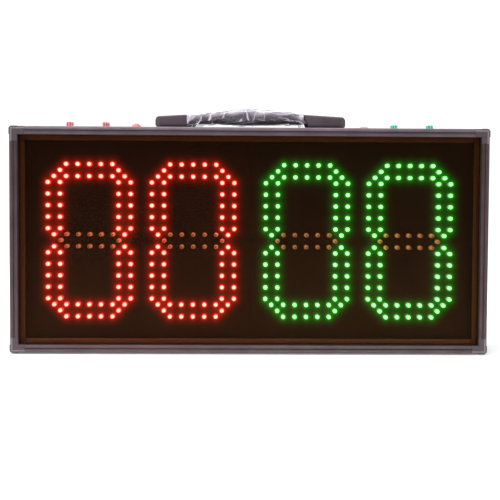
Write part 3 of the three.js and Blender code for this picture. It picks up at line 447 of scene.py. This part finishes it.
NODE_FINISHES = {
    "rail_top": ("top_rail",),
    "rail_bottom": ("bottom_rail",),
    "rail_upright": ("left_rail", "right_rail"),
    "corner": ("corner_top_left", "corner_top_right", "corner_bottom_left", "corner_bottom_right"),
    "pane": ("front_panel", "rear_panel"),
    "seal_and_shadow": ("front_gasket", "rear_gasket"),
    "painted": ("centre_spine",),
    "dark_steel": ("display_screw_front_red", "display_screw_front_green",
                   "display_screw_rear_red", "display_screw_rear_green"),
    "cap": ("handle_cap_left", "handle_cap_right"),
    "rubber": ("foot_left", "foot_right", "handle_base_left", "handle_base_right"),
    "steel": ("handle_nut_left", "handle_nut_right", "strap_pin_left", "strap_pin_right",
              "battery_clip", "handle_screw_left", "handle_screw_right", "corner_screw_top_left",
              "corner_screw_top_right", "corner_screw_bottom_left", "corner_screw_bottom_right"),
    "inner": ("battery_cradle", "controller_cradle", "charging_socket"),
    "circuit": ("switch_board_left", "switch_board_right", "controller_board"),
    "wrap": ("battery_pack",),
    "sheath": ("battery_lead", "switch_lead_left", "switch_lead_right", "socket_lead"),
}

for look, names in NODE_FINISHES.items():
    for name in names:
        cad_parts[name].material_slots[0].material = finishes[look]


# Surfaces


def grid_faces(rows, columns, round_rows=False, round_columns=False):
    """Quads between neighbours in a grid of points; where it goes round, the last joins the
    first."""
    row = np.arange(rows if round_rows else rows - 1)[:, None]
    side = np.arange(columns if round_columns else columns - 1)
    here, there = row * columns, (row + 1) % rows * columns
    after = (side + 1) % columns
    quads = [here + side, here + after, there + after, there + side]
    return np.stack(quads, axis=-1).reshape(-1, 4)


def skin(rings):
    """A closed skin over rings of points (ring, side, xyz), each end closed by a fan to its
    middle."""
    rows, columns = rings.shape[:2]
    points = np.concatenate([rings.reshape(-1, 3), rings[:1].mean(1), rings[-1:].mean(1)])
    side = np.arange(columns)
    after = (side + 1) % columns
    first, last = rows * columns, rows * columns + 1
    low = np.stack([after, side, np.full(columns, first)], axis=-1)
    high = np.stack([side, after, np.full(columns, last)], axis=-1)
    high[:, :2] += (rows - 1) * columns
    walls = grid_faces(rows, columns, round_columns=True)
    return points, walls.tolist() + low.tolist() + high.tolist()


def repeated(points, faces, places):
    """The same shape at many places, as one set of points and faces."""
    many = (np.asarray(places)[:, None, :] + points[None]).reshape(-1, 3)
    starts = range(0, len(many), len(points))
    return many, [[corner + start for corner in face] for start in starts for face in faces]


def add_object(name, data):
    """A new object in the scene."""
    made = bpy.data.objects.new(name, data)
    bpy.context.scene.collection.objects.link(made)
    return made


def piece(name, points, faces, look, body, values=None, sharp=35):
    """A mesh in millimetres made into a dressed piece, in metres, that rides on a body. The values
    are attributes of its points, and edges over the sharp angle, in degrees, stay hard."""
    mesh = bpy.data.meshes.new(name)
    mesh.from_pydata((np.asarray(points) * MM).tolist(), [], faces)
    mesh.polygons.foreach_set("use_smooth", np.ones(len(mesh.polygons), bool))
    mesh.set_sharp_from_angle(angle=math.radians(sharp))
    for key, numbers in (values or {}).items():
        layer = mesh.attributes.new(key, "FLOAT", "POINT")
        layer.data.foreach_set("value", np.asarray(numbers, np.float32))
    mesh.materials.append(finishes[look])
    made = add_object(name, mesh)
    if body:
        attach(made, body)
    return made


def evenly_round(sides, offset=0.0):
    """Angles evenly spaced around a circle, the first one an offset of a space from 0."""
    return (np.arange(sides) + offset) * TURN / sides


def revolved(profile, tip, sides, base=0.0):
    """Rings about Z: a point at angle a has x = r cos a, y = r sin a, z = h, for each (r, h) of the
    profile. The middles of the ends lie at base and tip."""
    angle = evenly_round(sides)
    radius, height = np.array(profile).T
    rings = np.stack([np.outer(radius, np.cos(angle)), np.outer(radius, np.sin(angle)),
                      np.repeat(height[:, None], sides, 1)], axis=-1)
    points, faces = skin(rings)
    points[-2, 2], points[-1, 2] = base, tip
    return points, faces


def oblong(angle, half_width, low, high, squareness):
    """Rounded oblong: y = w sign(cos a) |cos a|^s, and z likewise with sin a, between low and high;
    the smaller s, the squarer its corners."""
    across = np.sign(np.cos(angle)) * np.abs(np.cos(angle)) ** squareness
    up = np.sign(np.sin(angle)) * np.abs(np.sin(angle)) ** squareness
    return across * half_width, (high + low) / 2 + up * (high - low) / 2


def section(x, y, z):
    """A ring of points in the plane at x."""
    return np.stack([np.full_like(y, x), y, z], axis=-1)


def climb(value, start, length):
    """0 up to start, 1 from start + length, and straight between."""
    return np.clip((value - start) / length, 0, 1)


# Lamp boards and lamps


def lamp_places():
    """Places (x, z) of a digit's lamps from its middle, and whether each is alight when the digit
    shows a nought. Two rows of lamps run along every stroke, and the corners are cut."""
    row = np.arange(-2, 3) * PITCH
    end, top = 2 * PITCH, 4 * PITCH + 5 * STEP
    places = [(-end - STEP, 0, False), (end + STEP, 0, False)]
    for up in (-1, 1):
        for x in row:
            places += [(x, up * top, True), (x, up * (top - 2 * STEP), True), (x, up * STEP, False)]
        for side in (-1, 1):
            for steps in (1, 2):
                places.append((side * (end + steps * STEP), up * (top - steps * STEP), True))
            places.append((side * (end + 2 * STEP), up * STEP, True))
            for down in range(5):
                z = up * (top - 3 * STEP - down * PITCH)
                places += [(side * (end + 3 * STEP), z, True), (side * (end + STEP), z, True)]
    return places


def turned_board(points, rear):
    """The front board's points, or the same turned half way round the upright middle line."""
    return points * np.array([-1, -1, 1]) if rear else points


def build_display(side, colour):
    """Lamp board: oblongs with nearly square corners, carried through its thickness, the front edge
    drawn in. Each of its lamps is the same revolved lens, at its place in the two digits."""
    rear = side == "rear"
    flip = -1 if colour == "red" else 1
    near, far = flip * HALF_SEAM, flip * (HALF_WIDTH - BOARD_MARGIN)
    half_height = HALF_HEIGHT - BOARD_MARGIN
    middle, half_width = (near + far) / 2, abs(far - near) / 2
    sides = 64
    across, up = oblong(evenly_round(sides, 0.5), half_width, -half_height, half_height, 0.06)
    depths = np.array([-(BOARD_FACE - BOARD_THICKNESS), -BOARD_FACE + 0.2, -BOARD_FACE])
    inset = np.array([1.0, 1.0, 0.9993])
    rings = np.stack([middle + np.outer(inset, across), np.repeat(depths[:, None], sides, 1),
                      MIDDLE_RISE + np.outer(inset, up)], axis=-1)
    points, faces = skin(rings)
    name = f"{side}_{colour}"
    sheet = piece(f"{name}_lamp_board", turned_board(points, rear), faces, "lamp_board", "frame")
    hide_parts(f"{name}_display")

    lens, lens_faces = revolved(LENS_PROFILE, LENS_TIP, LENS_SIDES)
    lens_height = np.clip(lens[:, 2] / LENS_TIP, 0, 1)
    lens = np.stack([lens[:, 0], -BOARD_FACE - lens[:, 2], lens[:, 1]], axis=-1)
    for alight, kind, word in ((True, f"{colour}_lit", "alight"), (False, "dark_lamp", "dark")):
        places = [(flip * digit + x, 0, MIDDLE_RISE - DIGIT_DROP + z)
                  for digit in DIGIT_PLACES for x, z, lit in lamp_places() if lit == alight]
        points, faces = repeated(lens, lens_faces, places)
        values = {"lens_height": np.tile(lens_height, len(places))}
        piece(f"{name}_lamps_{word}", turned_board(points, rear), faces, kind, "frame",
              values, sharp=60)


for side in ("front", "rear"):
    for colour in ("red", "green"):
        build_display(side, colour)


# Buttons


def middle_of(node):
    """Middle across, underside and top of a node, in millimetres."""
    low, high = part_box(node)
    return (low.x + high.x) / 2 / MM, low.z / MM, high.z / MM


def fluted_cap(name, look):
    """Fluted cap: r = R - f (1 - cos na) / 2 around, with n flutes, its edge rounded over and its
    top dished slightly. The rows are (R, f, height), from the stem up."""
    x, base, top = middle_of(name)
    angle = evenly_round(96)
    flute = (1 - np.cos(FLUTES * angle)) / 2
    skirt = base + 2.8
    rows = [(2.5, 0, base), (2.5, 0, skirt), (4.4, 0.5, skirt), (4.9, 0.8, skirt + 0.5),
            (FLUTED_RADIUS, FLUTE_DEPTH, skirt + 1.5), (FLUTED_RADIUS, FLUTE_DEPTH, top - 1.1),
            (4.92, 0.8, top - 0.6), (4.66, 0.65, top - 0.22), (4.2, 0.45, top - 0.03),
            (3.6, 0.2, top), (2.6, 0.0, top - 0.12)]
    full, cut, height = (np.array(column)[:, None] for column in zip(*rows))
    radius = full - cut * flute
    rings = np.stack([x + radius * np.cos(angle), radius * np.sin(angle),
                      height + np.zeros_like(radius)], axis=-1)
    points, faces = skin(rings)
    points[-1, 2] = top - 0.18
    # Painted shade where the flutes are deep
    values = {"hollow": np.append((flute * (cut > 0.5)).ravel(), [0, 0])}
    made = piece(f"{name}_cap", points, faces, look, name, values, sharp=50)
    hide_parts(name)


def domed_cap(name, stem, fullness):
    """Domed cap: a straight skirt under a crown, r = R cos(a)^p and h = H sin(a)^p - H, measured
    from its top, over a narrower stem of the given length."""
    x, _, top = middle_of(name)
    turn = np.linspace(0, math.pi / 2, 14)[:-1]
    dome = [(DOMED_RADIUS * math.cos(a) ** fullness,
             -DOMED_CROWN + DOMED_CROWN * math.sin(a) ** fullness) for a in turn]
    stalk = [(STEM_RADIUS, -DOMED_DEPTH - stem), (STEM_RADIUS, -DOMED_DEPTH)] if stem else []
    profile = [*stalk, (DOMED_RADIUS - 0.2, -DOMED_DEPTH), (DOMED_RADIUS, -DOMED_DEPTH + 0.2),
               *dome]
    points, faces = revolved(profile, 0.0, 40, base=profile[0][1])
    made = piece(f"{name}_cap", points + np.array([x, 0, top]), faces, "orange_cap", name,
                 sharp=50)
    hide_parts(name)


for colour in ("red", "green"):
    for digit in ("tens", "units"):
        fluted_cap(f"{colour}_{digit}_button", f"{colour}_cap")
domed_cap("mode_button", 0.0, 1.0)
domed_cap("power_button", 2.5, 0.5)


# Handle


def grip_section(x):
    """Half width, underside and top of the grip at x: each runs from its value in the middle to
    that at the end with the square of x / end."""
    away = (np.asarray(x) / GRIP_HALF) ** 2
    return [middle + (end - middle) * away for middle, end in zip(GRIP_MIDDLE, GRIP_END)]


def build_grip():
    """Grip: rounded oblongs along x with rounded ends, a pocket in each end, and two shallow bands
    near it, b = 0.5 exp(-((|x| - place) / 0.6)^2)."""
    angle = evenly_round(64, 0.5)
    inner = np.linspace(-1, 1, 90) * (GRIP_HALF - 1.6)
    edge = [(-GRIP_HALF, 1.6), (-GRIP_HALF + 0.4, 0.7), (-GRIP_HALF + 1.0, 0.2)]
    band = sum(0.5 * np.exp(-((np.abs(inner) - place) / 0.6) ** 2) for place in (45.5, 42.0))
    stations = [*edge, *zip(inner, band), *[(-x, shrink) for x, shrink in reversed(edge)]]
    rings = []
    for x, shrink in stations:
        half, low, high = grip_section(x)
        rings.append(section(x, *oblong(angle, half - shrink, low + shrink, high - shrink, 0.7)))
    pocket = oblong(angle, 8.3, 12.0, 18.0, 0.25)
    for x in (-GRIP_HALF, -POCKET_END):
        rings = [section(x, *pocket), *rings, section(-x, *pocket)]
    points, faces = skin(np.array(rings))
    points[:, 2] += TOP_FACE
    made = piece("grip_body", points, faces, "grip", "grip", sharp=40)
    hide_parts("strap_grip")


def strap_rings(angle, stations, squareness):
    """Rounded oblongs along the strap, for each run from the pin, half width, underside and top."""
    return np.array([section(PIN_ACROSS - run, *oblong(angle, half, low, high, squareness))
                     for run, half, low, high in stations])


def on_side(points, sign):
    """The right strap's points about the pin's height, set on the board, or turned half way round
    for the left strap."""
    return points * np.array([sign, sign, 1]) + np.array([0, 0, TOP_FACE + PIN_RISE])


def build_sleeve(side, sign):
    """Sleeve: rounded oblongs from the cap's mouth to the grip, the top rising straight on the
    way, each end rounded over."""
    near, length = 8.0, 19.5
    half, underside, top, rise = 12.0, -2.0, 8.8, 3.0
    edges = [(near, 1.2), (8.5, 0.4), (9.4, 0.0), (12.0, 0.0), (18.0, 0.0), (24.0, 0.0),
             (26.3, 0.1), (27.1, 0.5), (near + length, 1.2)]
    stations = [(run, half - shrink, underside + shrink,
                 top + rise * (run - near) / length - shrink) for run, shrink in edges]
    points, faces = skin(strap_rings(evenly_round(40, 0.5), stations, 0.3)[::-1])
    made = piece(f"strap_sleeve_{side}", on_side(points, sign), faces, "grip", f"strap_{side}",
                 sharp=40)
    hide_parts(f"strap_end_{side}")


def build_steel(side, sign):
    """Steel: a flat strip through the sleeve, with a bend in it, to an eye on the pin. The eye is
    the outline of its wall, (r, y), carried around the pin. The strip's rows are (run from the pin,
    half width, height of its middle)."""
    half_thickness = 0.8
    runs = ((36.9, 7.4, 5.0), (36.5, 8.0, 5.0), (27.0, 8.0, 5.0), (26.0, 8.0, 4.6),
            (14.0, 11.6, 0.0), (6.0, 12.0, 0.0), (3.0, 12.0, 0.0))
    stations = [(run, half, rise - half_thickness, rise + half_thickness)
                for run, half, rise in runs]
    strip, strip_faces = skin(strap_rings(evenly_round(40, 0.5), stations, 0.35))
    angle = evenly_round(28)[:, None]
    radius, y = np.array([(3.3, -11.8), (3.3, 11.8), (3.1, 12.0), (2.0, 12.0), (1.8, 11.8),
                          (1.8, -11.8), (2.0, -12.0), (3.1, -12.0)]).T
    eye = np.stack([PIN_ACROSS + radius * np.cos(angle), y + np.zeros_like(angle),
                    radius * np.sin(angle)], axis=-1)
    eye_faces = grid_faces(*eye.shape[:2], round_rows=True, round_columns=True) + len(strip)
    points = np.concatenate([strip, eye.reshape(-1, 3)])
    piece(f"strap_steel_{side}", on_side(points, sign), strip_faces + eye_faces.tolist(), "steel",
          f"strap_{side}", sharp=40)


build_grip()
for side, sign in (("left", -1), ("right", 1)):
    build_sleeve(side, sign)
    build_steel(side, sign)


# Film. Strong folds: middle along x, middle of the way around, turn in radians, half length,
# breadth, height.
STRONG_FOLDS = (
    (-5.2, 59.5, 1.28, 10.5, 4.6, 1.0), (9.2, 56.0, 1.2, 6.0, 6.5, 1.0),
    (-13.1, 68.6, -1.1, 4.0, 6.5, 1.0), (-34.3, 60.0, -1.0, 6.0, 6.0, 1.0),
    (-52.4, 62.0, -0.8, 6.0, 6.5, 1.0), (-67.0, 64.0, -0.75, 8.0, 5.0, 0.8),
    (-23.0, 72.5, -0.15, 10.0, 3.0, 0.7), (17.0, 59.5, 1.2, 6.5, 3.6, 0.8),
    (35.0, 55.0, 0.14, 14.0, 5.0, 0.7), (33.0, 60.0, 0.2, 15.0, 4.0, 0.7),
    (45.0, 64.0, 0.12, 13.0, 4.5, 0.65), (-43.0, 55.0, -0.5, 10.0, 4.5, 0.75),
    (-26.0, 55.0, -0.35, 10.0, 4.0, 0.75), (2.0, 54.0, 0.1, 7.0, 4.0, 0.7),
)
LOOSE_FOLDS = 130
FOLD_SEED = 5


def loose_folds():
    """Random folds: nearly along the grip on the right, and more slanted in the rest."""
    draw = np.random.default_rng(FOLD_SEED)
    folds = []
    for _ in range(LOOSE_FOLDS):
        middle = draw.uniform(-88, 74)
        turn = draw.normal(0.15, 0.3) if middle > 10 else draw.normal(-0.4, 0.6)
        folds.append((middle, draw.uniform(0, FILM_GIRTH), turn, draw.uniform(4, 15),
                      draw.uniform(1.2, 4.0), draw.uniform(0.3, 0.95)))
    return folds


def creases(x, around):
    """Facets of crumpled film over (x, way around): beyond a bowed fold line the height falls off
    as exp(-across / w) on its broad side and as exp(across / n) on its steep side, and it fades
    along the line as exp(-(along / l)^4). The highest fold counts. Gives the height, and the
    whitening along the folds, partly the film's own and partly a painted highlight."""
    steep = 0.5
    height = np.zeros(np.broadcast(x, around).shape)
    whitening_and_highlight = np.zeros_like(height)
    for middle_x, middle_around, turn, long, broad, tall in [*STRONG_FOLDS, *loose_folds()]:
        right, up = x - middle_x, around - middle_around
        along = right * math.cos(turn) + up * math.sin(turn)
        across = up * math.cos(turn) - right * math.sin(turn)
        across = across + 0.003 * along ** 2 * math.sin(middle_x)
        fade = np.exp(-(along / long) ** 4)
        facet = np.exp(-np.abs(across) / np.where(across > 0, broad, steep))
        height = np.maximum(height, tall * facet * fade)
        # Whitening along the fold, also a painted highlight
        whitening_and_highlight = np.maximum(whitening_and_highlight, tall ** 1.5 * fade * np.exp(-np.abs(across) / (0.34 * broad)))
    return height, whitening_and_highlight


def build_film(side, sign, reach):
    """Half of the film, from the middle outward: the grip's rounded oblongs, carried on over the
    sleeve and the cap's mouth, where the sheet is wider and open below. It stands off by a gap that
    holds the creases and a slow swell, s = sin(0.16 x + 5 a) sin(0.07 |x| + 3 a + 1)."""
    columns, rows = 220, 190
    x = np.linspace(0, reach, columns)[:, None]
    share = np.linspace(0, 1, rows)[None, :]
    angle = (-0.25 + share) * TURN
    over_strap = climb(x, GRIP_HALF - 6, 6)
    beyond = climb(x, GRIP_HALF, 16)
    over_cap = climb(x, CAP_MOUTH - 5, 6)
    half, low, high = grip_section(climb(x, 0, GRIP_HALF) * GRIP_HALF)
    half = half + 3.6 * over_cap
    high = high - 3.0 * beyond
    low = low - 0.9 * over_strap - 0.6 * beyond - 4.5 * over_cap
    y, z = oblong(angle, half, low, high, 0.62 - 0.24 * over_strap)

    ridges, whitening_and_highlight = creases(sign * x, share * FILM_GIRTH)
    swell = np.sin(0.16 * sign * x + 5 * angle) * np.sin(0.07 * x + 3 * angle + 1)
    gap = FILM_GAP + CREASE_HEIGHT * ridges + SWELL_HEIGHT * swell + 0.3 * over_cap
    middle = (low + high) / 2
    stretch = 1 + gap / np.hypot(y, z - middle)
    y, z = y * stretch, middle + (z - middle) * stretch
    open_side = climb(x, CAP_MOUTH - 3, 4) * climb(middle - 1.5 - z, 0, 4)
    y = y * (1 - open_side) + np.sign(y + 1e-9) * (half + gap) * open_side
    spots = np.stack([np.broadcast_to(sign * x, y.shape), y, z + TOP_FACE], axis=-1)

    # Whiter along the folds, partly as painted highlight; a painted sheen over the upper half, which
    # faces the overhead light; and a painted reflection in a wedge at the left, flared end
    painted_sheen = climb((z - low) / (high - low), 0.22, 0.5) * (0.56 + 0.24 * swell)
    wedge = climb(z - middle - 6 + 0.9 * (x - CAP_MOUTH - 1), 0, 2) * climb(x, CAP_MOUTH, 2)
    whitening_and_highlight = np.clip(np.maximum(whitening_and_highlight, painted_sheen) + 0.8 * wedge * (y < 0) * (side == "left"), 0, 1)
    # On the left a face's corners run the other way, so that it points outward there too
    corners = [0, 1, 2, 3] if sign > 0 else [0, 3, 2, 1]
    faces = grid_faces(columns, rows)[:, corners].tolist()
    made = piece(f"film_{side}", spots.reshape(-1, 3), faces, "film", None,
                 {"crease": whitening_and_highlight.ravel()}, sharp=180)
    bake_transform(made)
    return made


left_film = build_film("left", -1, FILM_LEFT_REACH)
build_film("right", 1, FILM_RIGHT_REACH)
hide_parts("grip_film")


# Studio, in metres. Softboxes: name, place, width and height, power in watts.
SOFTBOXES = (
    ("overhead", (-0.25, -0.35, 1.6), (2.2, 1.3), 37.0),
    ("left", (-1.7, -0.5, 0.75), (0.9, 1.3), 9.0),
    ("right", (1.7, -0.5, 0.75), (0.9, 1.3), 9.0),
    ("behind", (0.0, 1.6, 1.2), (2.2, 1.0), 16.0),
)
LIGHT_TARGET = (0, 0, 0.15)
FLOOR_SIZE, FLOOR_PLACE = 2.2, (0, -0.2, -0.0002)
WALL_LIGHT, WALL_SEEN = 0.10, 1.15
BLOOM = {"Threshold": 1.6, "Smoothness": 0.1, "Strength": 1.0, "Saturation": 1.12, "Size": 0.03}


def stand(name, data, place, right, up, back):
    """Puts a light or the camera at a place, its own X, Y and Z axes along the three given."""
    made = add_object(name, data)
    axes = Matrix(np.array([right, up, back]).T.tolist()).to_4x4()
    made.matrix_world = Matrix.Translation(place) @ axes
    return made


def build_camera():
    """The camera's axes are the world's, turned by the yaw about Z, then the pitch, then the
    roll."""
    turns = CAMERA_YAW, CAMERA_PITCH, CAMERA_ROLL
    yaw, pitch, roll = ((math.cos(a), math.sin(a)) for a in turns)
    turn = np.array([[yaw[0], yaw[1], 0], [-yaw[1], yaw[0], 0], [0, 0, 1]])
    tilt = np.array([[1, 0, 0], [0, pitch[0], pitch[1]], [0, -pitch[1], pitch[0]]])
    lean = np.array([[roll[0], 0, roll[1]], [0, 1, 0], [-roll[1], 0, roll[0]]])
    right, forward, up = lean @ tilt @ turn
    data = bpy.data.cameras.new("photo_camera")
    data.lens = data.sensor_width * (FOCAL_LENGTH / PICTURE_SIZE)
    data.shift_y = (AXIS_DOWN - PICTURE_SIZE / 2) / PICTURE_SIZE
    data.clip_start, data.clip_end = 0.01, 50
    place = [part * MM for part in CAMERA_PLACE]
    bpy.context.scene.camera = stand("photo_camera", data, place, right, up, -forward)


def build_floor():
    """A square sheet of pale paper that glows a little."""
    recipe = material("pale_floor")
    paper = recipe.noise(recipe.place(), 60.0, 3.0)
    tone = recipe.ramp(paper, (0.3, shade(0.93, 0.93, 0.93)), (0.7, shade(0.95, 0.95, 0.95)))
    surface = recipe.shader(Base_Color=tone, Roughness=0.9, Emission_Color=shade(1, 1, 1),
                            Emission_Strength=0.2)
    half = FLOOR_SIZE / 2
    corners = np.array([(-half, -half, 0), (half, -half, 0), (half, half, 0), (-half, half, 0)])
    mesh = bpy.data.meshes.new("floor")
    mesh.from_pydata((corners + np.array(FLOOR_PLACE)).tolist(), [], [(0, 1, 2, 3)])
    mesh.materials.append(recipe.finish(surface))
    add_object("floor", mesh)


def build_walls():
    """White surroundings, dimmer as a light than they look to the camera."""
    world = bpy.data.worlds.new("studio")
    bpy.context.scene.world = world
    recipe = Recipe(world)
    seen = recipe.node("ShaderNodeLightPath", output="Is Camera Ray")
    sockets = {"Value": seen, "To Min": WALL_LIGHT, "To Max": WALL_SEEN}
    strength = recipe.node("ShaderNodeMapRange", {}, sockets, "Result")
    sockets = {"Color": shade(1, 1, 1), "Strength": strength}
    glow = recipe.node("ShaderNodeBackground", {}, sockets)
    recipe.node("ShaderNodeOutputWorld", {}, {"Surface": glow})


def build_softboxes():
    """Each softbox faces the target: Z runs from the target to it, X is square to Z and to the
    upright, or to the world's Y where it stands overhead."""
    for name, place, size, power in SOFTBOXES:
        light = bpy.data.lights.new(name, "AREA")
        light.shape = "RECTANGLE"
        light.size, light.size_y = size
        light.energy = power
        back = np.array(place) - np.array(LIGHT_TARGET)
        back = back / np.linalg.norm(back)
        right = np.cross((0, 1, 0) if abs(back[2]) > 0.9 else (0, 0, 1), back)
        right = right / np.linalg.norm(right)
        stand(name, light, place, right, np.cross(back, right), back)


def build_bloom():
    """Overexposed lamps bleed a little light into their surroundings, as in a photo."""
    recipe = Recipe(bpy.context.scene)
    picture = recipe.node("CompositorNodeRLayers", output="Image")
    settings = {"glare_type": "BLOOM", "quality": "HIGH"}
    bloom = recipe.node("CompositorNodeGlare", settings, {"Image": picture, **BLOOM}, "Image")
    recipe.node("CompositorNodeComposite", {}, {"Image": bloom})


build_camera()
build_floor()
build_walls()
build_softboxes()
build_bloom()
bpy.context.scene.view_settings.view_transform = "Standard"
